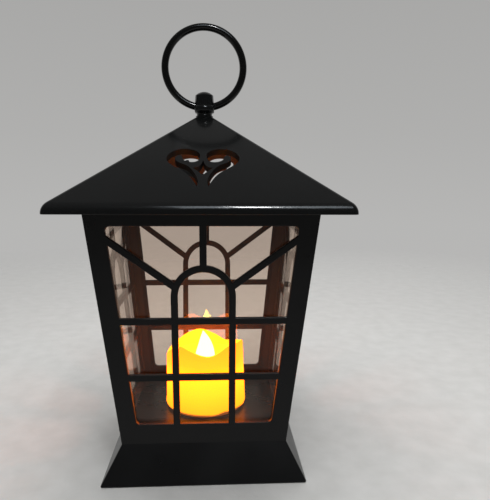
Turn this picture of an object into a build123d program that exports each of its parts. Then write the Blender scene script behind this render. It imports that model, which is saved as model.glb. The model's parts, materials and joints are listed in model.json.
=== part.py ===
from build123d import *

import os
from math import asin, atan2, cos, degrees, sin, sqrt

# A hanging candle lantern: flared base, four tapering lattice panels with clear panes behind
# them, a hipped roof pierced with hearts, and a ring through a finial at the apex. An LED candle
# stands on the floor, and its cells, board and switch are in the base.
# Millimetres, +Z up, the front faces -Y. The origin is the middle of the footprint.

os.makedirs("parts", exist_ok=True)

# ---- driving dimensions ------------------------------------------------------------------
# base
base_half_low = 61.9
base_half_high = 50.2
base_top = 21.35
base_wall = 2.4
base_edge_round = 1.0
base_foot_round = 0.6

# lattice body, which widens upwards from the base to the roof
body_half_high = 65.6
body_top = 163.3
panel_wall = 2.6
pane_thickness = 1.0
window_low = 34.2
window_high = 155.65
window_half_low = 40.9
window_half_high = 53.9
window_round = 2.8
bar_width = 4.0
rail_heights = (64.7, 99.95)
arch_radius = 18.65
arch_spring = 114.6
brace_start = 15.0
brace_height = 122.0
brace_slope = 0.74
panel_edge_round = 0.45

# roof
roof_half = 82.8
eaves_height = 167.5
roof_apex = 224.8
roof_top = 221.3
roof_wall = 3.8
roof_corner = 3.0
roof_inner_corner = 1.0
eaves_round = 7.0
lip_round = 0.4
frame_opening_half = 56.0
frame_thickness = 2.5
fit_gap = 0.3

# finial and ring
ring_outer_radius = 27.6
wire_radius = 2.35
ring_centre = 252.9
ring_hole_radius = 3.6
finial_top = 237.7
finial_shoulder = 5.85
finial_middle = 6.4
finial_bulge = 7.1
finial_neck = 5.0
finial_collar = 5.7
finial_stem = 2.8

# floor and candle
floor_top = 26.0
floor_thickness = 2.5
cable_hole = 8.0
candle_radius_low = 27.5
candle_radius_high = 27.0
candle_wall = 1.8
candle_rim = 73.0
well_hole = 7.8
led_height = 47.0

# base contents
plate_low = 1.5
plate_thickness = 3.0
cell_radius = 5.25
cell_length = 44.5
cell_pitch = 11.0
bay_half_x = 17.4
bay_half_y = 26.0
bay_wall = 1.2
bay_height = 11.0
door_thickness = 2.0
door_margin = 1.8
screw_radius = 1.25
screw_clearance = 0.15
screw_head = 2.5
head_recess = 2.8
screw_spread = 42.0
driver_slot = (3.2, 0.7)
switch_x = 33.0
switch_travel = 4.0
wire_thickness = 0.6

# ---- sizes that follow from them ---------------------------------------------------------
base_slope = (base_half_low - base_half_high) / base_top
body_flare = (body_half_high - base_half_high) / (body_top - base_top)
roof_slope = (roof_apex - eaves_height) / roof_half
roof_angle = atan2(roof_apex - eaves_height, roof_half)
roof_drop = roof_wall / cos(roof_angle)
deck_low = base_top - base_wall
plate_high = plate_low + plate_thickness
ring_radius = ring_outer_radius - wire_radius
hinge_height = ring_centre - ring_radius
switch_rest = -switch_travel / 2
turns = {"front": 0, "right": 90, "back": 180, "left": 270}


def base_half(height):
    """Half-width of the base's outer face at a height."""
    return base_half_low - base_slope * height


def body_half(height):
    """Half-width of the lattice body's outer face at a height."""
    return base_half_high + body_flare * (height - base_top)


def square_frustum(half_low, low, half_high, high, corner_low, corner_high):
    """A square block with rounded upright edges, which tapers from low to high."""
    with BuildPart() as frustum:
        with BuildSketch(Plane.XY.offset(low)):
            RectangleRounded(2 * half_low, 2 * half_low, corner_low)
        with BuildSketch(Plane.XY.offset(high)):
            RectangleRounded(2 * half_high, 2 * half_high, corner_high)
        loft(ruled=True)
    return frustum.part


def body_block(inset, low, high):
    """The body's tapering inside, this far in from its outer face."""
    with BuildPart() as block:
        with BuildSketch(Plane.XY.offset(low)):
            Rectangle(2 * (body_half(low) - inset), 2 * (body_half(low) - inset))
        with BuildSketch(Plane.XY.offset(high)):
            Rectangle(2 * (body_half(high) - inset), 2 * (body_half(high) - inset))
        loft(ruled=True)
    return block.part


def save(part, name):
    """Label a finished piece and write it."""
    part.label = name
    export_step(part, f"parts/{name}.step")


# ---- base_shell: flared skirt with a deck on top and four screw posts ----------------------
base_outside = square_frustum(
    base_half_low, 0, base_half_high, base_top, base_edge_round, base_edge_round
)
inner_round = 1.0
base_inside = square_frustum(
    base_half(0) - base_wall, 0, base_half(deck_low) - base_wall, deck_low, inner_round, inner_round
)
post_radius = 4.0
post_hole_depth = 10.0
tab_length = 10.0
tab_thickness = 1.4
tab_spread = 25.0
tab_inset = 0.9
tab_slack = 0.2

with BuildPart() as base_shell:
    add(base_outside)
    fillet(base_shell.faces().sort_by(Axis.Z)[0].edges(), base_foot_round)
    add(base_inside, mode=Mode.SUBTRACT)
    with BuildSketch(Plane.XY.offset(plate_high)):
        with GridLocations(2 * screw_spread, 2 * screw_spread, 2, 2):
            Circle(post_radius)
    extrude(amount=deck_low - plate_high)
    with BuildSketch(Plane.XY.offset(plate_high)):
        with GridLocations(2 * screw_spread, 2 * screw_spread, 2, 2):
            Circle(screw_radius)
    extrude(amount=post_hole_depth, mode=Mode.SUBTRACT)
    with BuildSketch(Plane.XY.offset(deck_low)):
        Circle(cable_hole + 1)
    extrude(amount=base_wall, mode=Mode.SUBTRACT)
    # slots for the panels' lower tabs
    slot_y = base_half_high - tab_inset - tab_thickness / 2
    with BuildSketch(Plane.XY.offset(base_top)):
        with PolarLocations(slot_y, 4):
            with Locations((0, -tab_spread), (0, tab_spread)):
                Rectangle(tab_thickness + tab_slack, tab_length + tab_slack)
    extrude(amount=-base_wall, mode=Mode.SUBTRACT)
save(base_shell.part, "base_shell")

# ---- bottom_plate: closes the base, with the battery bay and board posts moulded in --------
plate_half = base_half(plate_high) - base_wall - 0.2
door_half_x = bay_half_x + door_margin
door_half_y = bay_half_y + door_margin
hinge_y = -door_half_y + door_thickness / 2
hinge_z = plate_low + door_thickness / 2
pin_radius = 0.6
pin_length = 1.2
switch_slot = (3.1, switch_travel + 3.8)
board_x = -33.0
board_height = 8.5
board_size = (18.0, 28.0, 1.2)
board_screw_y = 10.0
board_screw_radius = 0.9
board_post_radius = 2.4
head_height = 1.6
head_gap = 0.1

with BuildPart() as bottom_plate:
    with BuildSketch(Plane.XY.offset(plate_low)):
        RectangleRounded(2 * plate_half, 2 * plate_half, inner_round)
    extrude(amount=plate_thickness)
    with BuildSketch(Plane.XY.offset(plate_high)):
        Rectangle(2 * (bay_half_x + bay_wall), 2 * (bay_half_y + bay_wall))
        Rectangle(2 * bay_half_x, 2 * bay_half_y, mode=Mode.SUBTRACT)
    extrude(amount=bay_height)
    with BuildSketch(Plane.XY.offset(plate_low)):
        Rectangle(2 * bay_half_x, 2 * bay_half_y)
    extrude(amount=plate_thickness, mode=Mode.SUBTRACT)
    # recess for the door, and the holes for its pins
    with BuildSketch(Plane.XY.offset(plate_low)):
        Rectangle(2 * door_half_x + 2 * fit_gap, 2 * door_half_y + 2 * fit_gap)
    extrude(amount=door_thickness + 0.2, mode=Mode.SUBTRACT)
    with BuildSketch(Plane.YZ.offset(-door_half_x - pin_length - fit_gap)):
        with Locations((hinge_y, hinge_z)):
            Circle(pin_radius + 0.05)
    extrude(amount=2 * (door_half_x + pin_length + fit_gap), mode=Mode.SUBTRACT)
    # slot for the switch
    with BuildSketch(Plane.XY.offset(plate_low)):
        with Locations((switch_x, 0)):
            Rectangle(*switch_slot)
    extrude(amount=plate_thickness, mode=Mode.SUBTRACT)
    # posts under the board
    with BuildSketch(Plane.XY.offset(plate_high)):
        with Locations((board_x, -board_screw_y), (board_x, board_screw_y)):
            Circle(board_post_radius)
    extrude(amount=board_height - plate_high)
    with BuildSketch(Plane.XY.offset(plate_high)):
        with Locations((board_x, -board_screw_y), (board_x, board_screw_y)):
            Circle(board_screw_radius)
    extrude(amount=board_height - plate_high, mode=Mode.SUBTRACT)
    # clearance holes and head recesses for the base screws
    with BuildSketch(Plane.XY.offset(plate_low)):
        with GridLocations(2 * screw_spread, 2 * screw_spread, 2, 2):
            Circle(screw_radius + screw_clearance)
    extrude(amount=plate_thickness, mode=Mode.SUBTRACT)
    with BuildSketch(Plane.XY.offset(plate_low)):
        with GridLocations(2 * screw_spread, 2 * screw_spread, 2, 2):
            Circle(head_recess)
    extrude(amount=head_height + head_gap, mode=Mode.SUBTRACT)
save(bottom_plate.part, "bottom_plate")

# ---- base_screws: pan heads in the plate's recesses, threads in the base's posts -----------
base_screw_length = 10.5
driver_depth = 0.8

with BuildPart() as base_screws:
    with BuildSketch(Plane.XY.offset(plate_low + head_gap)):
        with GridLocations(2 * screw_spread, 2 * screw_spread, 2, 2):
            Circle(screw_head)
    extrude(amount=head_height)
    with BuildSketch(Plane.XY.offset(plate_low + head_gap + head_height)):
        with GridLocations(2 * screw_spread, 2 * screw_spread, 2, 2):
            Circle(screw_radius)
    extrude(amount=base_screw_length)
    with BuildSketch(Plane.XY.offset(plate_low + head_gap)):
        with GridLocations(2 * screw_spread, 2 * screw_spread, 2, 2):
            Rectangle(*driver_slot)
            Rectangle(driver_slot[1], driver_slot[0])
    extrude(amount=driver_depth, mode=Mode.SUBTRACT)
save(base_screws.part, "base_screws")

# ---- battery_door: flat cover with a rounded hinge edge, two pins and a finger notch --------
grip_width = 16.0
notch_length = 6.0
notch_depth = 0.9
groove_pitch = 2.0
groove_width = 0.8
groove_depth = 0.5

with BuildPart() as battery_door:
    with BuildSketch(Plane.YZ.offset(-door_half_x)):
        with Locations(((hinge_y + door_half_y) / 2, hinge_z)):
            Rectangle(door_half_y - hinge_y, door_thickness)
        with Locations((hinge_y, hinge_z)):
            Circle(door_thickness / 2)
    extrude(amount=2 * door_half_x)
    with BuildSketch(Plane.YZ.offset(-door_half_x - pin_length)):
        with Locations((hinge_y, hinge_z)):
            Circle(pin_radius)
    extrude(amount=2 * (door_half_x + pin_length))
    with BuildSketch(Plane.XY.offset(plate_low)):
        with Locations((0, door_half_y)):
            SlotOverall(grip_width, notch_length)
    extrude(amount=notch_depth, mode=Mode.SUBTRACT)
    # grip grooves beside the notch
    with BuildSketch(Plane.XY.offset(plate_low)):
        with GridLocations(0, groove_pitch, 1, 4):
            with Locations((0, door_half_y - 4 * groove_pitch)):
                Rectangle(grip_width, groove_width)
    extrude(amount=groove_depth, mode=Mode.SUBTRACT)
save(battery_door.part, "battery_door")

# ---- cells and their contacts ---------------------------------------------------------------
cell_axis = plate_high + fit_gap + cell_radius
nub_radius = 1.9
nub_length = 0.9
for number, flip in ((1, 1), (2, -1), (3, 1)):
    with BuildPart() as battery:
        tail = -flip * cell_length / 2
        with BuildSketch(Plane.XZ.offset(-tail)):
            with Locations(((number - 2) * cell_pitch, cell_axis)):
                Circle(cell_radius)
        extrude(amount=-flip * (cell_length - nub_length))
        with BuildSketch(Plane.XZ.offset(-tail)):
            with Locations(((number - 2) * cell_pitch, cell_axis)):
                Circle(nub_radius)
        extrude(amount=-flip * cell_length)
    save(battery.part, f"battery_{number}")

contact_sheet = 0.4
contact_half = 4.6
contact_y = bay_half_y - contact_sheet
leaf_bulge = contact_y - cell_length / 2
leaf_half_width = 1.5
leaf_reach = 3.6
leaf_foot = 0.5
button_radius = 1.6
contact_gap = 0.05


def contact_plate(x, side):
    """One contact's flat sheet, against an end wall of the bay."""
    with BuildPart() as plate:
        with BuildSketch(Plane.XY.offset(cell_axis - contact_half)):
            with Locations((x, side * (contact_y + contact_sheet / 2))):
                Rectangle(2 * contact_half, contact_sheet)
        extrude(amount=2 * contact_half)
    return plate.part


def contact_leaf(x, side):
    """A bowed leaf, which springs the cell's end away from the sheet."""
    near = side * contact_y
    tip = side * (contact_y - leaf_bulge + contact_gap)
    wide = leaf_reach
    narrow = leaf_reach - leaf_foot
    with BuildPart() as leaf:
        with BuildSketch(Plane.XY.offset(cell_axis - leaf_half_width)):
            with BuildLine():
                ThreePointArc((x - wide, near), (x, tip), (x + wide, near))
                Line((x + wide, near), (x + narrow, near))
                ThreePointArc(
                    (x + narrow, near), (x, tip + side * contact_sheet), (x - narrow, near)
                )
                Line((x - narrow, near), (x - wide, near))
            make_face()
        extrude(amount=2 * leaf_half_width)
    return leaf.part


spring_places = [(-cell_pitch, -1), (0, 1), (cell_pitch, -1)]
spring_pieces = [contact_plate(x, side) for x, side in spring_places]
spring_pieces += [contact_leaf(x, side) for x, side in spring_places]
with BuildPart() as spring_contacts:
    add(spring_pieces)
save(spring_contacts.part, "spring_contacts")

flat_places = [(-cell_pitch, 1), (0, -1), (cell_pitch, 1)]
with BuildPart() as flat_contacts:
    add([contact_plate(x, side) for x, side in flat_places])
    # a raised button on each sheet reaches its cell's nub
    for x, side in flat_places:
        with BuildSketch(Plane.XZ.offset(-side * contact_y)):
            with Locations((x, cell_axis)):
                Circle(button_radius)
        extrude(amount=side * (leaf_bulge - contact_gap))
save(flat_contacts.part, "flat_contacts")

# ---- circuit_board and what is on it ---------------------------------------------------------
board_top = board_height + board_size[2]
board_hole_radius = 1.1
chip_x = board_x - 2.0
chip_body = (3.9, 4.9, 1.4)
chip_lift = 0.2
leg_span = 5.0
leg_pitch = 1.27
leg_size = (1.2, 0.4, 0.5)
resistor_x = board_x + 5.0
resistor_radius = 0.9
resistor_low_y = -1.4
resistor_length = 3.6
resistor_lead = 0.5
lead_span = 6.0
board_head_radius = 1.9
board_head_height = 1.2
board_screw_length = 4.5

with BuildPart() as circuit_board:
    with BuildSketch(Plane.XY.offset(board_height)):
        with Locations((board_x, 0)):
            Rectangle(board_size[0], board_size[1])
        with Locations((board_x, -board_screw_y), (board_x, board_screw_y)):
            Circle(board_hole_radius, mode=Mode.SUBTRACT)
    extrude(amount=board_size[2])
save(circuit_board.part, "circuit_board")

with BuildPart() as timer_chip:
    with BuildSketch(Plane.XY.offset(board_top + chip_lift)):
        with Locations((chip_x, 0)):
            Rectangle(chip_body[0], chip_body[1])
    extrude(amount=chip_body[2])
    with BuildSketch(Plane.XY.offset(board_top)):
        with Locations((chip_x, 0)):
            with GridLocations(leg_span, leg_pitch, 2, 4):
                Rectangle(leg_size[0], leg_size[1])
    extrude(amount=leg_size[2])
save(timer_chip.part, "timer_chip")

with BuildPart() as resistor:
    with BuildSketch(Plane.XZ.offset(-resistor_low_y - resistor_length)):
        with Locations((resistor_x, board_top + resistor_radius)):
            Circle(resistor_radius)
    extrude(amount=resistor_length)
    with BuildSketch(Plane.XY.offset(board_top)):
        with Locations((resistor_x, resistor_low_y + resistor_length / 2)):
            with GridLocations(0, lead_span, 1, 2):
                Rectangle(resistor_lead, resistor_lead)
    extrude(amount=resistor_radius + resistor_lead / 2)
    with BuildSketch(Plane.XY.offset(board_top + resistor_radius - resistor_lead / 2)):
        with Locations((resistor_x, resistor_low_y + resistor_length / 2)):
            Rectangle(resistor_lead, lead_span + resistor_lead)
    extrude(amount=resistor_lead)
save(resistor.part, "resistor")

with BuildPart() as board_screws:
    with BuildSketch(Plane.XY.offset(board_top)):
        with Locations((board_x, -board_screw_y), (board_x, board_screw_y)):
            Circle(board_head_radius)
    extrude(amount=board_head_height)
    with BuildSketch(Plane.XY.offset(board_top)):
        with Locations((board_x, -board_screw_y), (board_x, board_screw_y)):
            Circle(board_screw_radius)
    extrude(amount=-board_screw_length)
save(board_screws.part, "board_screws")

# ---- slide switch ------------------------------------------------------------------------------
housing_size = (6.6, 14.0, 5.1)
housing_wall = 0.8
slider_size = (4.4, 7.0, 3.6)
thumb_size = (2.5, 3.0)
thumb_drop = 0.8
with BuildPart() as switch_housing:
    with BuildSketch(Plane.XY.offset(plate_high)):
        with Locations((switch_x, 0)):
            Rectangle(housing_size[0], housing_size[1])
    extrude(amount=housing_size[2])
    with BuildSketch(Plane.XY.offset(plate_high)):
        with Locations((switch_x, 0)):
            Rectangle(housing_size[0] - 2 * housing_wall, housing_size[1] - 2 * housing_wall)
    extrude(amount=housing_size[2] - housing_wall, mode=Mode.SUBTRACT)
save(switch_housing.part, "switch_housing")

with BuildPart() as switch_slider:
    with BuildSketch(Plane.XY.offset(plate_high + fit_gap)):
        with Locations((switch_x, switch_rest)):
            Rectangle(slider_size[0], slider_size[1])
    extrude(amount=slider_size[2])
    with BuildSketch(Plane.XY.offset(plate_low - thumb_drop)):
        with Locations((switch_x, switch_rest)):
            Rectangle(*thumb_size)
    extrude(amount=plate_thickness + thumb_drop + fit_gap)
save(switch_slider.part, "switch_slider")

# ---- lattice panels ------------------------------------------------------------------------------
# One panel is the front quarter of the tapering tube, mitred along the diagonals.
tube_outside = body_block(0, base_top, body_top)
tube_inside = body_block(panel_wall, base_top, body_top)
reach = 2 * body_half_high
brace_width = bar_width * sqrt(1 + brace_slope**2)
brace_end = window_half_high + 5.0


def brace_top(x):
    """Height of a slanting brace's upper edge, this far out from the middle."""
    return brace_height + brace_slope * (x - brace_start)


with BuildPart() as panel:
    add(tube_outside)
    add(tube_inside, mode=Mode.SUBTRACT)
    with BuildSketch(Plane.XY):
        Polygon((0, 0), (-reach, -reach), (reach, -reach), align=None)
    extrude(amount=body_top, mode=Mode.INTERSECT)
    with BuildSketch(Plane.XZ) as lattice:
        with BuildLine():
            Polyline(
                (-window_half_low, window_low),
                (window_half_low, window_low),
                (window_half_high, window_high),
                (-window_half_high, window_high),
                close=True,
            )
        make_face()
        fillet(lattice.vertices(), window_round)
        for height in rail_heights:
            with Locations((0, height)):
                Rectangle(2 * reach, bar_width, mode=Mode.SUBTRACT)
        # two uprights joined by a round arch
        outer = arch_radius
        inner = arch_radius - bar_width
        with BuildLine():
            Line((-outer, 0), (-outer, arch_spring))
            ThreePointArc((-outer, arch_spring), (0, arch_spring + outer), (outer, arch_spring))
            Line((outer, arch_spring), (outer, 0))
            Line((outer, 0), (inner, 0))
            Line((inner, 0), (inner, arch_spring))
            ThreePointArc((inner, arch_spring), (0, arch_spring + inner), (-inner, arch_spring))
            Line((-inner, arch_spring), (-inner, 0))
            Line((-inner, 0), (-outer, 0))
        make_face(mode=Mode.SUBTRACT)
        # short bar from the arch to the top of the window
        with Locations((0, body_top)):
            Rectangle(
                bar_width,
                body_top - arch_spring - outer + bar_width / 2,
                align=(Align.CENTER, Align.MAX),
                mode=Mode.SUBTRACT,
            )
        # slanting braces from the arch's shoulders to the window's upper corners
        for side in (-1, 1):
            Polygon(
                (side * brace_start, brace_top(brace_start)),
                (side * brace_end, brace_top(brace_end)),
                (side * brace_end, brace_top(brace_end) - brace_width),
                (side * brace_start, brace_top(brace_start) - brace_width),
                align=None,
                mode=Mode.SUBTRACT,
            )
    extrude(amount=reach, mode=Mode.SUBTRACT)
    front_face = panel.faces().filter_by(lambda f: f.normal_at().Y < -0.9).sort_by(SortBy.AREA)[-1]
    fillet([edge for wire in front_face.inner_wires() for edge in wire.edges()], panel_edge_round)
    # tabs that plug into the base's deck and the top frame
    low_y = -(base_half_high - tab_inset - tab_thickness / 2)
    with BuildSketch(Plane.XY.offset(base_top)):
        with Locations((-tab_spread, low_y), (tab_spread, low_y)):
            Rectangle(tab_length, tab_thickness)
    extrude(amount=-base_wall + tab_slack)
    high_y = -(body_half_high - tab_inset - tab_thickness / 2)
    with BuildSketch(Plane.XY.offset(body_top)):
        with Locations((-tab_spread, high_y), (tab_spread, high_y)):
            Rectangle(tab_length, tab_thickness)
    extrude(amount=frame_thickness - tab_slack)

for side, turn in turns.items():
    with BuildPart() as placed_panel:
        add(panel.part, rotation=(0, 0, turn))
    save(placed_panel.part, f"panel_{side}")

# ---- floor_plate: the floor that the candle stands on, with a skirt down to the deck ----------------
floor_inset = panel_wall + 0.1
skirt_wall = 2.0
floor_block = body_block(floor_inset, base_top, floor_top)
floor_pocket = body_block(floor_inset + skirt_wall, base_top, floor_top - floor_thickness)
with BuildPart() as floor_plate:
    add(floor_block)
    add(floor_pocket, mode=Mode.SUBTRACT)
    with BuildSketch(Plane.XY.offset(base_top)):
        Circle(cable_hole)
    extrude(amount=floor_top - base_top, mode=Mode.SUBTRACT)
save(floor_plate.part, "floor_plate")

# ---- clear panes, trapped between the floor plate and the top frame's rim ---------------------------
rim_drop = 4.8
pane_gap = 0.1
pane_low = floor_top + pane_gap
pane_high = body_top - rim_drop - pane_gap
pane_overlap = 3.0
window_flare = (window_half_high - window_half_low) / (window_high - window_low)
pane_outside = body_block(panel_wall, pane_low, pane_high)
pane_inside = body_block(panel_wall + pane_thickness, pane_low, pane_high)


def pane_half(height):
    """Half-width of a pane at a height."""
    return window_half_low + window_flare * (height - window_low) + pane_overlap


for side, turn in turns.items():
    with BuildPart() as flat_pane:
        add(pane_outside)
        add(pane_inside, mode=Mode.SUBTRACT)
        with BuildSketch(Plane.XZ):
            Polygon(
                (-pane_half(pane_low), pane_low),
                (pane_half(pane_low), pane_low),
                (pane_half(pane_high), pane_high),
                (-pane_half(pane_high), pane_high),
                align=None,
            )
        extrude(amount=reach, mode=Mode.INTERSECT)
    with BuildPart() as placed_pane:
        add(flat_pane.part, rotation=(0, 0, turn))
    save(placed_pane.part, f"pane_{side}")

# ---- top_frame: square ring under the eaves, with a rim inside the panels ---------------------------
frame_half = roof_half - roof_wall - fit_gap
roof_screw_spread = 71.0
roof_head_height = 1.3
roof_screw_length = 5.6
rim_outside = body_block(floor_inset, body_top - rim_drop, body_top)
with BuildPart() as top_frame:
    with BuildSketch(Plane.XY.offset(body_top)):
        RectangleRounded(2 * frame_half, 2 * frame_half, roof_inner_corner)
    extrude(amount=frame_thickness)
    add(rim_outside)
    with BuildSketch(Plane.XY.offset(body_top - rim_drop)):
        Rectangle(2 * frame_opening_half, 2 * frame_opening_half)
    extrude(amount=rim_drop + frame_thickness, mode=Mode.SUBTRACT)
    with BuildSketch(Plane.XY.offset(body_top)):
        with PolarLocations(body_half_high - tab_inset - tab_thickness / 2, 4):
            with Locations((0, -tab_spread), (0, tab_spread)):
                Rectangle(tab_thickness + tab_slack, tab_length + tab_slack)
        with GridLocations(2 * roof_screw_spread, 2 * roof_screw_spread, 2, 2):
            Circle(screw_radius + screw_clearance)
    extrude(amount=frame_thickness, mode=Mode.SUBTRACT)
    with BuildSketch(Plane.XY.offset(body_top)):
        with GridLocations(2 * roof_screw_spread, 2 * roof_screw_spread, 2, 2):
            Circle(head_recess)
    extrude(amount=roof_head_height + head_gap, mode=Mode.SUBTRACT)
save(top_frame.part, "top_frame")

# ---- roof_screws: up through the top frame into the roof's posts -------------------------------------
with BuildPart() as roof_screws:
    with BuildSketch(Plane.XY.offset(body_top + head_gap)):
        with GridLocations(2 * roof_screw_spread, 2 * roof_screw_spread, 2, 2):
            Circle(screw_head)
    extrude(amount=roof_head_height)
    with BuildSketch(Plane.XY.offset(body_top + head_gap + roof_head_height)):
        with GridLocations(2 * roof_screw_spread, 2 * roof_screw_spread, 2, 2):
            Circle(screw_radius)
    extrude(amount=roof_screw_length)
    with BuildSketch(Plane.XY.offset(body_top + head_gap)):
        with GridLocations(2 * roof_screw_spread, 2 * roof_screw_spread, 2, 2):
            Rectangle(*driver_slot)
            Rectangle(driver_slot[1], driver_slot[0])
    extrude(amount=driver_depth, mode=Mode.SUBTRACT)
save(roof_screws.part, "roof_screws")

# ---- roof_shell: hipped roof with an upright lip, four posts, an apex boss and the hearts -------------
frame_top = body_top + frame_thickness
boss_low = 212.5
boss_radius = 5.2
roof_post_radius = 3.4
roof_post_height = 12.0
roof_hole_depth = 4.8
inner_half = roof_half - roof_wall
inner_apex = roof_apex - roof_drop
inner_eaves = inner_apex - roof_slope * inner_half
inner_top_half = 3.0
inner_top = inner_apex - roof_slope * inner_top_half
top_half = (roof_apex - roof_top) / roof_slope

lip_inside = square_frustum(
    inner_half, body_top, inner_half, inner_eaves, roof_inner_corner, roof_inner_corner
)
slope_inside = square_frustum(
    inner_half, inner_eaves, inner_top_half, inner_top, roof_inner_corner, roof_inner_corner
)

with BuildPart() as roof_hollow:
    add(lip_inside)
    add(slope_inside)
    with BuildSketch(Plane.XY.offset(frame_top)):
        with GridLocations(2 * roof_screw_spread, 2 * roof_screw_spread, 2, 2):
            Circle(roof_post_radius)
    extrude(amount=roof_post_height, mode=Mode.SUBTRACT)
    with BuildSketch(Plane.XY.offset(boss_low)):
        Circle(boss_radius)
    extrude(amount=roof_apex - boss_low, mode=Mode.SUBTRACT)

# Heart, seen square on to a roof face: across, and down the slope from the apex.
lobe_outer = [
    (1.9, 53.8),
    (4.2, 47.3),
    (11.0, 45.1),
    (18.9, 49.2),
    (21.0, 56.2),
    (16.4, 63.4),
    (9.3, 70.3),
    (5.0, 77.9),
    (3.1, 83.1),
]
lobe_inner = [
    (2.5, 78.9),
    (5.5, 68.3),
    (10.2, 61.8),
    (15.3, 57.9),
    (15.6, 53.1),
    (13.3, 51.8),
    (11.6, 56.1),
    (7.2, 59.1),
    (2.9, 57.5),
]
centre_outline = [
    (0.0, 56.5),
    (1.0, 61.2),
    (3.2, 64.3),
    (6.0, 64.8),
]
centre_foot = [
    (6.0, 64.8),
    (3.6, 67.3),
    (1.4, 70.2),
    (0.0, 72.2),
]
face_plane = Plane(
    origin=(0, 0, roof_apex),
    x_dir=(1, 0, 0),
    z_dir=(0, -sin(roof_angle), cos(roof_angle)),
)

with BuildPart() as heart_cutter:
    with BuildSketch(face_plane.offset(-3 * roof_wall)):
        for side in (-1, 1):
            with BuildLine():
                rim = Spline([(side * x, -down) for x, down in lobe_outer])
                back = Spline([(side * x, -down) for x, down in lobe_inner])
                Line(rim @ 1, back @ 0)
                Line(back @ 1, rim @ 0)
            make_face()
            with BuildLine():
                upper = Spline([(side * x, -down) for x, down in centre_outline])
                lower = Spline([(side * x, -down) for x, down in centre_foot])
                Line(lower @ 1, upper @ 0)
            make_face()
    extrude(amount=4 * roof_wall)


def on_corner(edge):
    """Whether an edge climbs one of the roof's four corners."""
    middle = edge.center()
    climb = abs((edge @ 1).Z - (edge @ 0).Z)
    return abs(abs(middle.X) - abs(middle.Y)) < 0.01 and climb > lip_round


with BuildPart() as roof_shell:
    with BuildSketch(Plane.XY.offset(body_top)):
        Rectangle(2 * roof_half, 2 * roof_half)
    extrude(amount=eaves_height - body_top)
    with BuildSketch(Plane.XY.offset(eaves_height)):
        Rectangle(2 * roof_half, 2 * roof_half)
    with BuildSketch(Plane.XY.offset(roof_top)):
        Rectangle(2 * top_half, 2 * top_half)
    loft(ruled=True)
    eaves = roof_shell.edges().filter_by(lambda e: abs(e.center().Z - eaves_height) < 0.01)
    fillet(eaves, eaves_round)
    fillet(roof_shell.edges().filter_by(on_corner), roof_corner)
    fillet(roof_shell.faces().sort_by(Axis.Z)[0].edges(), lip_round)
    add(roof_hollow.part, mode=Mode.SUBTRACT)
    for turn in turns.values():
        add(heart_cutter.part, rotation=(0, 0, turn), mode=Mode.SUBTRACT)
    with BuildSketch(Plane.XY.offset(boss_low)):
        Circle(finial_stem + 0.1)
    extrude(amount=roof_top - boss_low, mode=Mode.SUBTRACT)
    with BuildSketch(Plane.XY.offset(frame_top)):
        with GridLocations(2 * roof_screw_spread, 2 * roof_screw_spread, 2, 2):
            Circle(screw_radius)
    extrude(amount=roof_hole_depth, mode=Mode.SUBTRACT)
save(roof_shell.part, "roof_shell")

# ---- finial: bead on a necked collar, with a stem through the roof and a cross hole for the ring ------
stem_low = boss_low + 1
collar_top = roof_top + 0.8
neck_height = collar_top + 0.9
bead_low = neck_height + 1.1
bulge_height = bead_low + 1.9
middle_height = bulge_height + 2.7
dome_height = 2.4
shoulder = finial_top - dome_height
dome_radius = (finial_shoulder**2 + dome_height**2) / (2 * dome_height)
dome_start = degrees(asin((dome_radius - dome_height) / dome_radius))
finial_hole_depth = 8.0
with BuildPart() as finial:
    with BuildSketch(Plane.XZ):
        with BuildLine():
            Polyline(
                (0, finial_top),
                (0, stem_low),
                (finial_stem, stem_low),
                (finial_stem, roof_top),
                (finial_collar, roof_top),
                (finial_collar, collar_top),
            )
            ThreePointArc(
                (finial_collar, collar_top),
                (finial_neck, neck_height),
                (finial_collar + 0.2, bead_low),
            )
            ThreePointArc(
                (finial_collar + 0.2, bead_low),
                (finial_bulge, bulge_height),
                (finial_middle, middle_height),
            )
            Line((finial_middle, middle_height), (finial_shoulder, shoulder))
            CenterArc((0, finial_top - dome_radius), dome_radius, dome_start, 90 - dome_start)
        make_face()
    revolve(axis=Axis.Z)
    with BuildSketch(Plane.YZ.offset(-2 * finial_bulge)):
        with Locations((0, hinge_height)):
            Circle(ring_hole_radius)
    extrude(amount=4 * finial_bulge, mode=Mode.SUBTRACT)
    with BuildSketch(Plane.XY.offset(stem_low)):
        Circle(screw_radius)
    extrude(amount=finial_hole_depth, mode=Mode.SUBTRACT)
save(finial.part, "finial")

washer_radius = 4.6
washer_thickness = 0.6
finial_head_radius = 2.6
finial_head_half = 1.0
with BuildPart() as finial_washer:
    with BuildSketch(Plane.XY.offset(boss_low - washer_thickness)):
        Circle(washer_radius)
        Circle(screw_radius + screw_clearance, mode=Mode.SUBTRACT)
    extrude(amount=washer_thickness)
save(finial_washer.part, "finial_washer")

with BuildPart() as finial_screw:
    with BuildSketch(Plane.XY.offset(boss_low - washer_thickness - 2 * finial_head_half)):
        Circle(finial_head_radius)
        Rectangle(*driver_slot, mode=Mode.SUBTRACT)
        Rectangle(driver_slot[1], driver_slot[0], mode=Mode.SUBTRACT)
    extrude(amount=finial_head_half)
    with BuildSketch(Plane.XY.offset(boss_low - washer_thickness - finial_head_half)):
        Circle(finial_head_radius)
    extrude(amount=finial_head_half)
    with BuildSketch(Plane.XY.offset(boss_low - washer_thickness)):
        Circle(screw_radius)
    extrude(amount=finial_hole_depth + 1)
save(finial_screw.part, "finial_screw")

# ---- ring_handle: a wire ring, standing up from the finial's cross hole --------------------------------
with BuildPart() as ring_handle:
    with BuildSketch(Plane.YZ):
        with Locations((0, hinge_height)):
            Circle(wire_radius)
    revolve(axis=Axis((0, 0, ring_centre), (0, 1, 0)))
save(ring_handle.part, "ring_handle")

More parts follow.
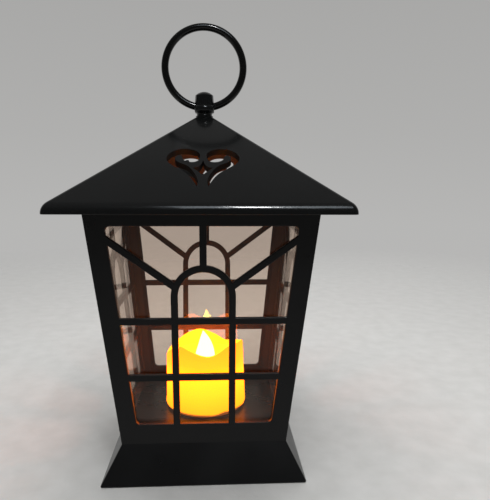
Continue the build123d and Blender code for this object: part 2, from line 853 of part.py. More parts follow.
# ---- LED candle ------------------------------------------------------------------------------------------
# The rim dips where wax has run away: a scoop's direction, its lowest point and its radius.
rim_scoops = ((275, 67.4, 24), (180, 62.0, 18), (55, 63.7, 16))
candle_inside_low = candle_radius_low - candle_wall
candle_inside_high = candle_radius_high - candle_wall
candle_foot_bevel = 1.5
candle_fit = 0.1
with BuildPart() as candle_shell:
    with BuildSketch(Plane.XZ):
        with BuildLine():
            Polyline(
                (candle_inside_low, floor_top),
                (candle_radius_low - candle_foot_bevel, floor_top),
                (candle_radius_low, floor_top + candle_foot_bevel),
                (candle_radius_high, candle_rim),
                (candle_inside_high, candle_rim),
                close=True,
            )
        make_face()
    revolve(axis=Axis.Z)
    for direction, lowest, radius in rim_scoops:
        scoop_plane = Plane(
            origin=(0, 0, lowest + radius),
            x_dir=(0, 0, 1),
            z_dir=Vector(1, 0, 0).rotate(Axis.Z, direction),
        )
        with BuildSketch(scoop_plane):
            Circle(radius)
        extrude(amount=2 * candle_radius_low, mode=Mode.SUBTRACT)
save(candle_shell.part, "candle_shell")

well_edge = candle_inside_high - candle_fit
well_bend = 20.0
well_centre_height = 56.1
well_edge_height = 59.4
well_thickness = 1.5
with BuildPart() as candle_well:
    with BuildSketch(Plane.XZ):
        with BuildLine():
            Polyline(
                (well_hole, well_centre_height - well_thickness),
                (well_bend, well_centre_height + 0.5 - well_thickness),
                (well_edge, well_edge_height - well_thickness),
                (well_edge, well_edge_height),
                (well_bend, well_centre_height + 0.5),
                (well_hole, well_centre_height),
                close=True,
            )
        make_face()
    revolve(axis=Axis.Z)
save(candle_well.part, "candle_well")

lead_hole = 3.0
base_disc = 2.2
spigot_length = floor_thickness + 1.0
led_post_radius = 4.6
with BuildPart() as candle_base:
    with BuildSketch(Plane.XY.offset(floor_top)):
        Circle(candle_inside_low - candle_fit)
    extrude(amount=base_disc)
    with BuildSketch(Plane.XY.offset(floor_top)):
        Circle(cable_hole - candle_fit)
    extrude(amount=-spigot_length)
    with BuildSketch(Plane.XY.offset(floor_top + base_disc)):
        Circle(led_post_radius)
    extrude(amount=led_height - floor_top - base_disc)
    with BuildSketch(Plane.XY.offset(floor_top - spigot_length)):
        Circle(lead_hole)
    extrude(amount=led_height, mode=Mode.SUBTRACT)
save(candle_base.part, "candle_base")

led_radius = 2.5
led_flange_radius = 2.9
led_flange = 1.0
led_straight = 6.5
with BuildPart() as led:
    with BuildSketch(Plane.XZ):
        with BuildLine():
            Polyline(
                (0, led_height + led_straight + led_radius),
                (0, led_height),
                (led_flange_radius, led_height),
                (led_flange_radius, led_height + led_flange),
                (led_radius, led_height + led_flange),
                (led_radius, led_height + led_straight),
            )
            CenterArc((0, led_height + led_straight), led_radius, 0, 90)
        make_face()
    revolve(axis=Axis.Z)
save(led.part, "led")

# The flame leans a little and is flatter front to back: its sections' places and half-sizes.
flame_sections = (
    (56.2, 0.0, 6.8, 5.4),
    (60.5, -0.3, 6.9, 5.4),
    (65.5, -0.3, 5.7, 4.5),
    (71.0, -0.9, 3.4, 2.8),
    (75.5, -1.5, 1.2, 1.0),
    (77.3, -1.8, 0.25, 0.25),
)
flame_flange_low = 53.0
flame_flange_radius = 9.0
flame_flange = 1.4
led_pocket_radius = 2.7
led_pocket_depth = 4.2
with BuildPart() as flame_tip:
    for height, lean, half_x, half_y in flame_sections:
        with BuildSketch(Plane.XY.offset(height)):
            with Locations((lean, 0)):
                Ellipse(half_x, half_y)
    loft()
    with BuildSketch(Plane.XY.offset(flame_flange_low)):
        Circle(flame_flange_radius)
    extrude(amount=flame_flange)
    with BuildSketch(Plane.XY.offset(flame_flange_low + flame_flange)):
        Ellipse(*flame_sections[0][2:])
    extrude(amount=flame_sections[0][0] - flame_flange_low - flame_flange)
    with BuildSketch(Plane.XY.offset(flame_flange_low)):
        Circle(led_pocket_radius)
    extrude(amount=led_pocket_depth, mode=Mode.SUBTRACT)
save(flame_tip.part, "flame_tip")

# ---- wires: from the board up through the floor and the post to the LED -----------------------------
wire_level = 17.2
wire_bend = 3.0
wire_offset = 1.3
wire_start_x = board_x + 7.0
for name, offset in (("wire_red", wire_offset), ("wire_black", -wire_offset)):
    with BuildPart() as wire:
        with BuildLine(Plane.XZ.offset(offset)) as route:
            FilletPolyline(
                (wire_start_x, board_top),
                (wire_start_x, wire_level),
                (0, wire_level),
                (0, led_height),
                radius=wire_bend,
            )
        with BuildSketch(Plane.XY.offset(board_top)):
            with Locations((wire_start_x, -offset)):
                Circle(wire_thickness)
        sweep(path=route.wire())
    save(wire.part, name)
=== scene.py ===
import json
import math

import bmesh
import bpy
from mathutils import Matrix, Vector


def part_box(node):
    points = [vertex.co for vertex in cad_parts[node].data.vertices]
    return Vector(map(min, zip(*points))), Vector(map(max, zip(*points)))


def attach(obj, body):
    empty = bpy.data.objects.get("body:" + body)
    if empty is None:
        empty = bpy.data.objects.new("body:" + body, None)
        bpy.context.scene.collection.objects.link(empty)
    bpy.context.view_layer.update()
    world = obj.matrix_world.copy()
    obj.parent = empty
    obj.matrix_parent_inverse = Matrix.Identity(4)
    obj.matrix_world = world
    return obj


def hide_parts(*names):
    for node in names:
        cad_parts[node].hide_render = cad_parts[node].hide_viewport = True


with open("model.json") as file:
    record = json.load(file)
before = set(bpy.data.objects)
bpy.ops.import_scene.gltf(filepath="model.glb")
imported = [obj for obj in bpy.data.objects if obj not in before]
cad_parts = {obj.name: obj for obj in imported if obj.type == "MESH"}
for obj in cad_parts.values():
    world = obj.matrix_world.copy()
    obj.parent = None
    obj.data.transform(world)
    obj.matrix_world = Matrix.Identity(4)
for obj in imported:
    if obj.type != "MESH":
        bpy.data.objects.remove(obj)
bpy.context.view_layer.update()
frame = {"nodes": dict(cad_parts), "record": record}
nodes = frame["nodes"]
scene = bpy.context.scene
MM = 0.001
MIDDLE = (0.0, 0.0, 100 * MM)


# ---- node helpers ------------------------------------------------------------
class Tree:
    """A material's nodes, made and joined in short lines. Sizes in them are in metres."""

    def __init__(self, name):
        self.material = bpy.data.materials.new(name)
        self.material.use_nodes = True
        self.nodes = self.material.node_tree.nodes
        self.links = self.material.node_tree.links
        self.shader = self.nodes["Principled BSDF"]
        self.output = self.nodes["Material Output"]

    def add(self, kind, **sockets):
        """A node of this kind; each socket gets a value, or a link if it is given an output."""
        node = self.nodes.new("ShaderNode" + kind)
        self.fill(node, **sockets)
        return node

    def put(self, socket, value):
        """Links the socket if the value is an output, and sets it otherwise."""
        if isinstance(value, bpy.types.NodeSocket):
            self.links.new(value, socket)
        else:
            socket.default_value = value

    def fill(self, node, **sockets):
        """Sockets go by name, with _ for a space, or by place, such as i0 for the first."""
        for name, value in sockets.items():
            by_place = name[0] == "i" and name[1:].isdigit()
            self.put(node.inputs[int(name[1:]) if by_place else name.replace("_", " ")], value)

    def place(self):
        """Positions on the piece itself, in metres."""
        return self.add("TexCoord").outputs["Object"]

    def noise(self, scale, detail=3.0, roughness=0.5, vector=None):
        node = self.add("TexNoise", Vector=vector or self.place())
        node.inputs["Scale"].default_value = scale
        node.inputs["Detail"].default_value = detail
        node.inputs["Roughness"].default_value = roughness
        return node.outputs["Fac"]

    def span(self, value, low, high, to_low, to_high):
        """Maps value from low..high to to_low..to_high, clamped."""
        node = self.add("MapRange", Value=value)
        node.inputs["From Min"].default_value = low
        node.inputs["From Max"].default_value = high
        node.inputs["To Min"].default_value = to_low
        node.inputs["To Max"].default_value = to_high
        return node.outputs["Result"]

    def math(self, operation, first, second=0.0):
        node = self.nodes.new("ShaderNodeMath")
        node.operation = operation
        for socket, value in zip(node.inputs, (first, second)):
            self.put(socket, value)
        return node.outputs[0]

    def ramp(self, factor, stops):
        node = self.add("ValToRGB", Fac=factor)
        elements = node.color_ramp.elements
        while len(elements) < len(stops):
            elements.new(0.5)
        for element, (place, colour) in zip(elements, stops):
            element.position = place
            element.color = (*colour, 1.0)
        return node.outputs["Color"]

    def mix(self, share, first, second):
        """Blends two colours; the share is 0 for the first and 1 for the second."""
        node = self.nodes.new("ShaderNodeMix")
        node.data_type = "RGBA"
        for name, value in (("Factor", share), ("A", first), ("B", second)):
            # the colour sockets come after the number and vector ones of the same name
            socket = [i for i in node.inputs if i.name == name and i.enabled][-1]
            self.put(socket, value)
        return [o for o in node.outputs if o.enabled][0]

    def bump(self, height, strength, distance):
        node = self.add("Bump", Height=height)
        node.inputs["Strength"].default_value = strength
        node.inputs["Distance"].default_value = distance
        return node.outputs["Normal"]

    def looks_in(self, near, far):
        """1 on faces that look towards the lantern's middle, and 0 on those that look away.

        It is 1 where the face's plane is up to near from the middle, and 0 from far on. The
        distance is negative where the face looks in.
        """
        from_middle = self.add("VectorMath", i0=self.place(), i1=MIDDLE)
        from_middle.operation = "SUBTRACT"
        normal = self.add("NewGeometry").outputs["True Normal"]
        outwards = self.add("VectorMath", i0=from_middle.outputs[0], i1=normal)
        outwards.operation = "DOT_PRODUCT"
        return self.span(outwards.outputs["Value"], near, far, 1.0, 0.0)

    def set(self, **values):
        self.fill(self.shader, **values)


# ---- materials ---------------------------------------------------------------
PLASTIC_IOR = 1.5
DUST_GREY = (0.10, 0.10, 0.10, 1.0)
CUT_EDGES = (20 * MM, 45 * MM)  # as in looks_in: every cut edge and inner face, and no outer one


def moulded_plastic(
    name, colour, gloss_low, gloss_high, grain=0.05, wave=1.0, coat=0.0,
    painted_glow=None, reach=(0, 0), dull=0.5, shine=0.5,
):
    """Near-black moulded plastic: faint flow marks, smudges, fine grain and dust.

    Gloss is a roughness, and shine is the specular level. With a painted glow, the cut edges and the
    faces that look in at the candle are at least as rough as dull, and have no coat. The painted glow
    is a colour of painted candle light on the faces that look in, which fades out between the two
    distances of its reach, as in looks_in.
    """
    t = Tree(name)
    smudge = t.noise(28.0, 4.0, 0.6)
    flow = t.noise(9.0, 2.0)
    dust = t.span(t.noise(1900.0, 2.0, 0.7), 0.66, 0.80, 0.0, 1.0)
    lift = t.span(smudge, 0.35, 0.75, 0.85, 1.25)
    tint = t.ramp(
        t.math("MULTIPLY", flow, lift),
        [(0.2, [c * 0.8 for c in colour]), (0.8, [c * 1.3 for c in colour])],
    )
    tint = t.mix(t.math("MULTIPLY", dust, 0.06), tint, DUST_GREY)
    gloss = t.span(smudge, 0.3, 0.7, gloss_low, gloss_high)
    if painted_glow:
        rough = t.looks_in(*CUT_EDGES)
        # painted light: faces that look in at the candle take the painted glow's colour, which stands in for
        # the candle's light on them
        tint = t.mix(t.looks_in(*reach), tint, (*painted_glow, 1.0))
        gloss = t.math("MAXIMUM", gloss, t.math("MULTIPLY", rough, dull))
        coat = t.span(rough, 0.0, 1.0, coat, 0.0) if coat else 0.0
    t.set(Base_Color=tint, Roughness=gloss)
    t.set(IOR=PLASTIC_IOR, Specular_IOR_Level=shine)
    t.set(Coat_Weight=coat, Coat_Roughness=0.06)
    fine = t.noise(2600.0, 2.0)
    broad = t.math("MULTIPLY", t.noise(45.0, 2.0), wave)
    height = t.math("ADD", t.math("MULTIPLY", fine, 0.15), broad)
    t.set(Normal=t.bump(height, grain, 0.0002))
    return t.material


def clear_sheet():
    """Clear plastic sheet: see-through, mirror-like at a slant, with faint smears and dust."""
    t = Tree("clear_sheet")
    smear = t.noise(16.0, 4.0, 0.6)
    speck = t.span(t.noise(1500.0, 2.0, 0.6), 0.68, 0.80, 0.0, 1.0)
    t.set(Base_Color=(0.97, 0.95, 0.92, 1.0), Metallic=1.0)
    t.set(Roughness=t.span(smear, 0.3, 0.7, 0.02, 0.07))
    t.set(Normal=t.bump(t.noise(14.0, 1.0), 0.10, 0.0006))
    # the see-through tint is warm and dim: painted shade, standing in for the lantern's shadow on the wall
    # behind and the candle's warm light
    clear = t.add("BsdfTransparent", Color=(0.975, 0.925, 0.885, 1.0))
    facing = t.add("LayerWeight", Blend=0.5).outputs["Facing"]
    # a smooth sheet mirrors 4% of the light head on, and all of it edge on
    slant = t.span(t.math("POWER", facing, 5.0), 0.0, 1.0, 0.04, 1.0)
    haze = t.math("MULTIPLY", t.span(smear, 0.4, 0.8, 0.004, 0.02), t.math("ADD", speck, 0.4))
    share = t.math("ADD", slant, haze)
    mix = t.add("MixShader", Fac=share)
    t.links.new(clear.outputs[0], mix.inputs[1])
    t.links.new(t.shader.outputs[0], mix.inputs[2])
    t.links.new(mix.outputs[0], t.output.inputs["Surface"])
    return t.material


def metal(name, colour, rough_low, rough_high):
    """Plated metal with fine rubbing marks."""
    t = Tree(name)
    rub = t.noise(600.0, 3.0, 0.6)
    t.set(Base_Color=t.ramp(rub, [(0.3, [c * 0.8 for c in colour]), (0.7, colour)]))
    t.set(Metallic=1.0, Roughness=t.span(rub, 0.3, 0.7, rough_low, rough_high))
    t.set(Normal=t.bump(rub, 0.15, 0.0001))
    return t.material


def lit_wax(name, stops, strength, low, high, mottle=0.10, inside=None):
    """Wax-look plastic lit from inside: its light changes from low to high, and has soft clouds.

    An inside is the light of the faces that look in towards the flame.
    """
    t = Tree(name)
    xyz = t.add("SeparateXYZ", Vector=t.place())
    rise = t.span(xyz.outputs["Z"], low, high, 0.0, 1.0)
    cloud = t.span(t.noise(60.0, 3.0), 0.3, 0.7, -mottle, mottle)
    glow = t.ramp(t.math("ADD", rise, cloud), stops)
    if inside:
        glow = t.mix(t.looks_in(-10 * MM, 4 * MM), glow, (*inside, 1.0))
    t.set(Base_Color=(0.30, 0.13, 0.002, 1.0), Emission_Color=glow, Emission_Strength=strength)
    t.set(Specular_IOR_Level=0.35)
    t.set(Roughness=t.span(t.noise(90.0), 0.3, 0.7, 0.35, 0.5))
    t.set(Normal=t.bump(t.noise(160.0, 3.0), 0.25, 0.0005))
    return t.material


def plain_plastic(name, colour, roughness):
    """Small moulded or coated parts: one colour with a fine grain and slight mottling."""
    t = Tree(name)
    spread = t.noise(140.0, 2.0)
    t.set(Base_Color=t.ramp(spread, [(0.3, [c * 0.85 for c in colour]), (0.7, colour)]))
    t.set(Roughness=t.span(spread, 0.3, 0.7, roughness - 0.06, roughness + 0.06))
    t.set(Normal=t.bump(t.noise(700.0, 2.0), 0.1, 0.0001))
    return t.material


body_colour = (0.0045, 0.0045, 0.0048)
roof_colour = (0.0040, 0.0043, 0.0044)
body_black = moulded_plastic("body_black", body_colour, 0.26, 0.36)
# painted light: the panels' cut edges and inner faces are a lighter grey, standing in for the candle's light
# on the lattice
panel_black = moulded_plastic(
    "panel_black", body_colour, 0.26, 0.36, painted_glow=(0.020, 0.018, 0.018), reach=CUT_EDGES
)
finial_black = moulded_plastic("finial_black", roof_colour, 0.12, 0.18, grain=0.04, coat=0.4)
# painted light: the roof's inner faces are orange-brown, standing in for the candle's glow inside the roof
roof_black = moulded_plastic(
    "roof_black", roof_colour, 0.12, 0.18, grain=0.04, coat=0.4,
    painted_glow=(0.034, 0.013, 0.010), reach=(-90 * MM, -80 * MM), dull=0.6,
)
# its grey, lighter than the body's black, is painted reflection: it stands in for the outside light that the
# inner floor mirrors
inner_black = moulded_plastic("inner_black", (0.030, 0.030, 0.030), 0.24, 0.34, grain=0.10, shine=0.2)
ring_black = moulded_plastic("ring_black", (0.002, 0.002, 0.002), 0.12, 0.18, grain=0.015, wave=0.3, coat=0.4)
pane_clear = clear_sheet()
zinc = metal("zinc_plate", (0.62, 0.62, 0.60), 0.25, 0.40)
tin = metal("tin_plate", (0.70, 0.70, 0.71), 0.18, 0.30)
board_green = plain_plastic("board_green", (0.02, 0.20, 0.07), 0.35)
chip_black = plain_plastic("chip_black", (0.02, 0.02, 0.02), 0.5)
resistor_tan = plain_plastic("resistor_tan", (0.60, 0.45, 0.26), 0.35)
switch_black = plain_plastic("switch_black", (0.018, 0.018, 0.018), 0.45)
red_vinyl = plain_plastic("red_vinyl", (0.50, 0.02, 0.02), 0.4)
black_vinyl = plain_plastic("black_vinyl", (0.015, 0.015, 0.015), 0.4)
cell_wrap = plain_plastic("cell_wrap", (0.05, 0.07, 0.11), 0.3)

# The red of the wax's light is far brighter than its green and blue, and too bright for the
# picture. So the wax itself shows yellow, and its dimmer reflections show orange.
wax_stops = [
    (0.00, (0.16, 0.05, 0.010)),
    (0.035, (0.30, 0.09, 0.014)),
    (0.065, (3.00, 0.76, 0.010)),
    (0.20, (5.00, 0.92, 0.014)),
    (0.34, (6.50, 1.08, 0.018)),
    (0.52, (7.00, 1.22, 0.018)),
    (0.62, (6.50, 1.08, 0.016)),
    (0.74, (6.00, 0.86, 0.014)),
    (1.00, (6.00, 0.72, 0.014)),
]
cup_glow = (6.0, 1.28, 0.022)
pool_stops = [(0.0, (6.0, 1.20, 0.02)), (1.0, (6.0, 1.30, 0.03))]
base_stops = [(0.0, (0.9, 0.16, 0.004)), (1.0, (1.8, 0.5, 0.01))]
flame_stops = [(0.0, (1.0, 0.85, 0.095)), (0.80, (1.0, 0.85, 0.095)), (1.0, (1.0, 0.80, 0.085))]
wax_glow = lit_wax("wax_glow", wax_stops, 1.0, 0.026, 0.072, 0.02, inside=cup_glow)
pool_glow = lit_wax("pool_glow", pool_stops, 1.0, 0.054, 0.060)
base_glow = lit_wax("base_glow", base_stops, 0.5, 0.022, 0.047)
flame_glow = lit_wax("flame_glow", flame_stops, 14.0, 0.054, 0.078, 0.02)

finishes = {
    "body_plastic": body_black,
    "roof_plastic": roof_black,
    "inner_plastic": inner_black,
    "clear_sheet": pane_clear,
    "ring_metal": ring_black,
    "steel": zinc,
    "candle_plastic": wax_glow,
    "flame_plastic": flame_glow,
    "led_lens": flame_glow,
    "board": board_green,
    "chip": chip_black,
    "resistor_body": resistor_tan,
    "cell_jacket": cell_wrap,
    "switch_metal": tin,
    "switch_plastic": switch_black,
    "red_insulation": red_vinyl,
    "black_insulation": black_vinyl,
}
slots = {s["node"]: s["material_slot"] for s in frame["record"]["subparts"]}


def paint(obj, material):
    """Gives the whole of an object one material."""
    obj.data.materials.clear()
    obj.data.materials.append(material)


for name, node in nodes.items():
    paint(node, finishes[slots[name]])
paint(nodes["candle_base"], base_glow)
paint(nodes["finial"], finial_black)
for side in ("front", "right", "back", "left"):
    paint(nodes["panel_" + side], panel_black)


def soften(node_name, width, segments, angle):
    """Shades a CAD node smooth and bevels its edges that are sharper than the angle, in degrees.

    On the finial's fine mesh the bevel moves the surface by less than 0.01 mm.
    """
    obj = nodes[node_name]
    mesh = obj.data
    if "custom_normal" in mesh.attributes:
        mesh.attributes.remove(mesh.attributes["custom_normal"])
    mesh.polygons.foreach_set("use_smooth", [True] * len(mesh.polygons))
    weld = obj.modifiers.new("weld", "WELD")
    weld.merge_threshold = 0.01 * MM
    bevel = obj.modifiers.new("edge_round", "BEVEL")
    bevel.width = width
    bevel.segments = segments
    bevel.limit_method = "ANGLE"
    bevel.angle_limit = math.radians(angle)


soften("finial", 1.2 * MM, segments=5, angle=30)


# ---- mesh helpers ------------------------------------------------------------
def mesh_piece(name, verts, faces, material):
    """A smooth-shaded object in the scene, from its points and faces."""
    mesh = bpy.data.meshes.new(name)
    mesh.from_pydata([tuple(v) for v in verts], [], faces)
    mesh.validate()
    mesh.update()
    obj = bpy.data.objects.new(name, mesh)
    scene.collection.objects.link(obj)
    mesh.materials.append(material)
    mesh.polygons.foreach_set("use_smooth", [True] * len(mesh.polygons))
    return obj


def face_out(obj):
    """Turns every face of a closed mesh outwards."""
    bm = bmesh.new()
    bm.from_mesh(obj.data)
    bmesh.ops.recalc_face_normals(bm, faces=bm.faces)
    bm.to_mesh(obj.data)
    bm.free()


def loop_surface(name, rings, material, closed=True):
    """A closed skin through rings of points, capped at both ends unless the rings close up."""
    count = len(rings[0])
    verts = [p for ring in rings for p in ring]
    faces = []
    steps = len(rings) if closed else len(rings) - 1
    for i in range(steps):
        j = (i + 1) % len(rings)
        for k in range(count):
            m = (k + 1) % count
            faces.append((i * count + k, i * count + m, j * count + m, j * count + k))
    if not closed:
        faces.append(tuple(range(count))[::-1])
        faces.append(tuple(range((len(rings) - 1) * count, len(rings) * count)))
    obj = mesh_piece(name, verts, faces, material)
    face_out(obj)
    return obj


# ---- candle ------------------------------------------------------------------
candle_low, candle_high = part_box("candle_shell")
candle_radius = candle_high.x
candle_floor = candle_low.z
candle_taper = 0.9 * MM
lean_at_top = 0.9 * MM
# the melted rim's height in mm at each angle
rim_points = [
    (0, 70.2), (14, 68.4), (28, 67.0), (42, 65.6), (55, 64.3), (73, 67.7), (93, 71.0),
    (106, 71.0), (126, 68.3), (142, 65.3), (180, 62.0), (205, 67.0), (232, 73.0), (250, 70.9),
    (268, 67.9), (281, 67.4), (292, 69.2), (307, 72.4), (330, 72.9), (348, 72.4),
]


def rim_height(angle):
    """Height of the wavy rim at an angle in degrees, smooth through the listed points."""
    angle %= 360
    points = rim_points
    count = len(points)
    for i in range(count):
        a0, h0 = points[i]
        a1, h1 = points[(i + 1) % count]
        if a1 <= a0:
            a1 += 360
        if a0 <= angle < a1:
            before = points[i - 1][1]
            after = points[(i + 2) % count][1]
            t = (angle - a0) / (a1 - a0)
            m0, m1 = (h1 - before) / 2, (after - h0) / 2
            t2, t3 = t * t, t * t * t
            height = (2 * t3 - 3 * t2 + 1) * h0 + (t3 - 2 * t2 + t) * m0
            height += (3 * t2 - 2 * t3) * h1 + (t3 - t2) * m1
            return height * MM
    return points[0][1] * MM


def candle_lean(height):
    """How far the candle leans to the left at a height."""
    return lean_at_top * (height - candle_floor) / (candle_high.z - candle_floor)


def candle_wall():
    """The wax-look shell: soft foot, slight taper, wavy rim that rolls over, and a thin inside."""
    wall = 1.9 * MM
    foot_round = 3.0 * MM
    ripple_inset = 0.2 * MM
    pool = 57.5 * MM
    under_pool = 2 * MM
    columns = 144
    shoulder = candle_floor + foot_round
    shares = {
        "foot": (0.0, 0.35, 0.7, 1.0),
        "out": (0.1, 0.22, 0.35, 0.48, 0.6, 0.72, 0.82, 0.9, 0.96),
        "lip": (0.0, 0.25, 0.5, 0.75, 1.0),
        "in": (0.96, 0.8, 0.6, 0.4, 0.2, 0.0),
    }
    profile = [(kind, share) for kind, row in shares.items() for share in row]
    rings = []
    for kind, share in profile:
        ring = []
        for k in range(columns):
            angle = 360 * k / columns
            turn = math.radians(angle)
            top = rim_height(angle)
            ripple = 0.16 * MM * math.sin(3 * turn + 1.0) + 0.10 * MM * math.sin(7 * turn)
            if kind == "foot":
                bend = share * math.pi / 2
                radius = candle_radius - foot_round * (1 - math.sin(bend))
                height = candle_floor + foot_round * (1 - math.cos(bend))
            elif kind == "out":
                height = shoulder + (top - wall / 2 - shoulder) * share
                radius = candle_radius - candle_taper * share
            elif kind == "lip":
                bend = share * math.pi
                centre = candle_radius - candle_taper - wall / 2
                radius = centre + wall / 2 * math.cos(bend)
                height = top - wall / 2 + wall / 2 * math.sin(bend)
            else:
                height = pool - under_pool + (top - wall / 2 - pool + under_pool) * share
                radius = candle_radius - candle_taper - wall
            if kind in ("out", "lip"):
                radius += ripple - ripple_inset
            x = radius * math.cos(turn) - candle_lean(height)
            ring.append(Vector((x, radius * math.sin(turn), height)))
        rings.append(ring)
    # the inside drops to the floor, and closes back to the foot
    last = [Vector((p.x, p.y, candle_floor)) for p in rings[-1]]
    rings.append(last)
    obj = loop_surface("candle_wax_shell", rings, wax_glow)
    obj.visible_diffuse = False
    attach(obj, "lantern")
    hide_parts("candle_shell")


def candle_pool():
    """The melted surface inside the rim: a shallow dish that climbs a little at the wall."""
    rim_inset = 2.85 * MM
    inner = candle_radius - rim_inset
    hole = 7.4 * MM
    columns = 96
    rings = []
    top_line = [(0.0, 56.2), (0.15, 56.0), (0.35, 56.2), (0.6, 56.9), (0.8, 58.0), (0.93, 59.6), (1.0, 60.6)]
    under_line = [(1.0, 58.6), (0.8, 56.4), (0.5, 55.2), (0.2, 54.7), (0.0, 54.6)]
    for share, height in top_line + under_line:
        ring = []
        for k in range(columns):
            turn = 2 * math.pi * k / columns
            radius = hole + (inner - hole) * share
            wave = 0.25 * MM * math.sin(5 * turn + 4 * share) * share
            x = radius * math.cos(turn) - candle_lean(height * MM)
            ring.append(Vector((x, radius * math.sin(turn), height * MM + wave)))
        rings.append(ring)
    obj = loop_surface("candle_melt_pool", rings, pool_glow)
    obj.visible_diffuse = False
    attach(obj, "lantern")
    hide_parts("candle_well")


def flame():
    """Flame diffuser: nearly straight on the left, full on the right, leaning to a point."""
    # height, left edge, right edge and depth of each section, in mm
    sections = [
        (53.0, -8.9, 8.9, 17.8), (54.3, -8.9, 8.9, 17.8), (54.5, -7.0, 6.6, 11.5), (57.5, -7.2, 6.5, 11.6),
        (60.5, -7.1, 6.2, 11.4), (63.5, -6.3, 5.8, 10.4), (66.5, -5.4, 5.0, 9.0), (69.5, -4.5, 3.8, 7.2),
        (72.2, -3.7, 2.4, 5.2), (74.6, -2.9, 0.7, 3.1), (76.3, -2.3, -0.7, 1.5), (77.2, -2.0, -1.5, 0.5),
    ]
    columns = 48
    rings = []
    for height, left, right, depth in sections:
        centre = (left + right) / 2
        ring = []
        for k in range(columns):
            turn = 2 * math.pi * k / columns
            x = centre + (right - left) / 2 * math.cos(turn)
            ring.append(Vector((x * MM, depth / 2 * math.sin(turn) * MM, height * MM)))
        rings.append(ring)
    obj = loop_surface("flame_diffuser", rings, flame_glow, closed=False)
    obj.visible_diffuse = False
    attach(obj, "lantern")
    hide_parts("flame_tip")


candle_wall()
candle_pool()
flame()


# ---- ring --------------------------------------------------------------------
def ring_wire():
    """The ring: a true circle of round wire, sized from the CAD ring's box."""
    low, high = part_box("ring_handle")
    wire = (high.y - low.y) / 2
    middle = (low + high) / 2
    radius = (high.x - low.x) / 2 - wire
    around, across = 192, 32
    rings = []
    for i in range(around):
        turn = 2 * math.pi * i / around
        out = Vector((math.cos(turn), 0, math.sin(turn)))
        ring = []
        for k in range(across):
            bend = 2 * math.pi * k / across
            sideways = Vector((0, wire * math.sin(bend), 0))
            ring.append(middle + out * (radius + wire * math.cos(bend)) + sideways)
        rings.append(ring)
    obj = loop_surface("ring_wire", rings, ring_black)
    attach(obj, "ring")
    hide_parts("ring_handle")


ring_wire()


# ---- stage: floor, lights, backdrop ------------------------------------
def floor():
    """A pale round floor that fades out into the backdrop."""
    t = Tree("pale_floor")
    far = t.add("VectorMath", i0=t.place())
    far.operation = "LENGTH"
    fade_start, fade_end = 0.30, 1.10
    cover = t.span(far.outputs["Value"], fade_start, fade_end, 1.0, 0.0)
    whites = [(0.3, (0.57, 0.566, 0.55)), (0.7, (0.63, 0.625, 0.61))]
    t.set(Base_Color=t.ramp(t.noise(60.0, 4.0), whites))
    t.set(Roughness=0.6, Normal=t.bump(t.noise(300.0, 4.0), 0.15, 0.001))
    t.set(Alpha=cover)
    bm = bmesh.new()
    bmesh.ops.create_circle(bm, cap_ends=True, radius=1.2, segments=96)
    mesh = bpy.data.meshes.new("floor")
    bm.to_mesh(mesh)
    bm.free()
    obj = bpy.data.objects.new("floor", mesh)
    scene.collection.objects.link(obj)
    obj.location.z = -0.0002  # clear of the lantern's rim
    mesh.materials.append(t.material)
    obj.visible_glossy = False


def area_light(name, place, target, size, power, colour=(1, 1, 1), mirrored=False):
    """A rectangular light aimed at its target; only a mirrored one shows in glossy surfaces."""
    light = bpy.data.lights.new(name, "AREA")
    light.shape = "RECTANGLE"
    light.size, light.size_y = size
    light.energy = power
    light.color = colour
    obj = bpy.data.objects.new(name, light)
    scene.collection.objects.link(obj)
    obj.location = place
    obj.rotation_euler = (Vector(target) - Vector(place)).to_track_quat("-Z", "Y").to_euler()
    obj.visible_glossy = mirrored


def candle_light():
    """A warm light just above the flame, which stands in for the wax's light on what is near."""
    light = bpy.data.lights.new("candle_light", "POINT")
    light.energy = 0.22
    light.color = (1.0, 0.24, 0.05)
    light.shadow_soft_size = 0.006
    obj = bpy.data.objects.new("candle_light", light)
    scene.collection.objects.link(obj)
    obj.location = (0, 0, 0.084)
    obj.visible_camera = False
    obj.visible_glossy = False


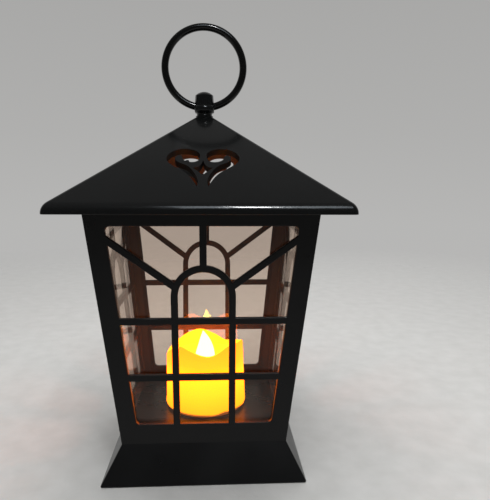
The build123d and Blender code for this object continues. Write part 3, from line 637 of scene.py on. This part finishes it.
def sky():
    """Soft room light, dim in front and brighter behind, and a pale backdrop for the camera."""
    world = bpy.data.worlds.new("studio")
    scene.world = world
    world.use_nodes = True
    tree = world.node_tree
    back = tree.nodes["Background"]
    coord = tree.nodes.new("ShaderNodeTexCoord")
    split = tree.nodes.new("ShaderNodeSeparateXYZ")
    tree.links.new(coord.outputs["Generated"], split.inputs[0])
    rise = tree.nodes.new("ShaderNodeMapRange")
    rise.inputs["From Min"].default_value = -1.0
    rise.inputs["From Max"].default_value = 1.0
    tree.links.new(split.outputs["Z"], rise.inputs["Value"])

    def gradient(stops):
        """A colour that changes from straight down, at 0, to straight up, at 1."""
        ramp = tree.nodes.new("ShaderNodeValToRGB")
        tree.links.new(rise.outputs["Result"], ramp.inputs["Fac"])
        elements = ramp.color_ramp.elements
        while len(elements) < len(stops):
            elements.new(0.5)
        for element, (place, value) in zip(elements, stops):
            element.position = place
            element.color = (value, value * 0.995, value * 0.98, 1.0)
        return ramp.outputs["Color"]

    room = gradient([(0.0, 0.28), (0.18, 0.26), (0.34, 0.10), (0.50, 0.05), (0.80, 0.06), (1.0, 0.11)])
    behind = gradient([(0.0, 0.30), (0.45, 0.42), (0.60, 0.42), (0.85, 0.25), (1.0, 0.11)])
    seen = gradient([(0.0, 0.50), (0.38, 0.48), (0.46, 0.47), (0.54, 0.43), (0.66, 0.39), (1.0, 0.37)])
    wall = tree.nodes.new("ShaderNodeMapRange")
    wall.interpolation_type = "SMOOTHSTEP"
    wall.inputs["From Min"].default_value = 0.15
    wall.inputs["From Max"].default_value = 0.60
    tree.links.new(split.outputs["Y"], wall.inputs["Value"])

    def blend(share, first, second):
        """The first colour where the share is 0, and the second where it is 1."""
        mix = tree.nodes.new("ShaderNodeMix")
        mix.data_type = "RGBA"
        # sockets 0, 6 and 7 are the share and the two colours
        tree.links.new(share, mix.inputs[0])
        tree.links.new(first, mix.inputs[6])
        tree.links.new(second, mix.inputs[7])
        return mix.outputs[2]

    path = tree.nodes.new("ShaderNodeLightPath")
    lit = blend(wall.outputs["Result"], room, behind)
    tree.links.new(blend(path.outputs["Is Camera Ray"], lit, seen), back.inputs["Color"])
    back.inputs["Strength"].default_value = 1.0


floor()
sky()
candle_light()
area_light("key", (0.08, -0.50, 0.76), (0, -0.05, 0.17), (0.07, 0.07), 0.8, mirrored=True)
area_light("glow", (0.10, -0.50, 0.76), (0, -0.05, 0.17), (0.36, 0.24), 0.6, (0.82, 0.92, 1.0), mirrored=True)
area_light("overhead", (0.0, -0.1, 1.3), (0, 0, 0), (1.6, 1.6), 18.0)
area_light("rear", (0.3, 1.1, 0.8), (0, 0.2, 0), (1.2, 0.6), 5.0)


# ---- camera ------------------------------------------------------------------
def camera():
    """In front, a little higher than the eaves and a touch to the right, looking slightly down."""
    place = Vector((6.849, -354.863, 182.201)) * MM
    yaw, pitch, roll = 0.0569437, 0.1359453, 0.0049324
    data = bpy.data.cameras.new("camera")
    data.sensor_width = 36.0
    data.lens = 37.88
    obj = bpy.data.objects.new("camera", data)
    scene.collection.objects.link(obj)
    level = math.cos(pitch)
    ahead = Vector((math.sin(yaw) * level, math.cos(yaw) * level, -math.sin(pitch)))
    right = Vector((math.cos(yaw), -math.sin(yaw), 0))
    up = right.cross(ahead)
    right_rolled = right * math.cos(roll) + up * math.sin(roll)
    up_rolled = up * math.cos(roll) - right * math.sin(roll)
    turn = Matrix((right_rolled, up_rolled, -ahead)).transposed()
    obj.matrix_world = Matrix.Translation(place) @ turn.to_4x4()
    data.clip_start = 0.01
    scene.camera = obj


camera()
scene.view_settings.view_transform = "Standard"
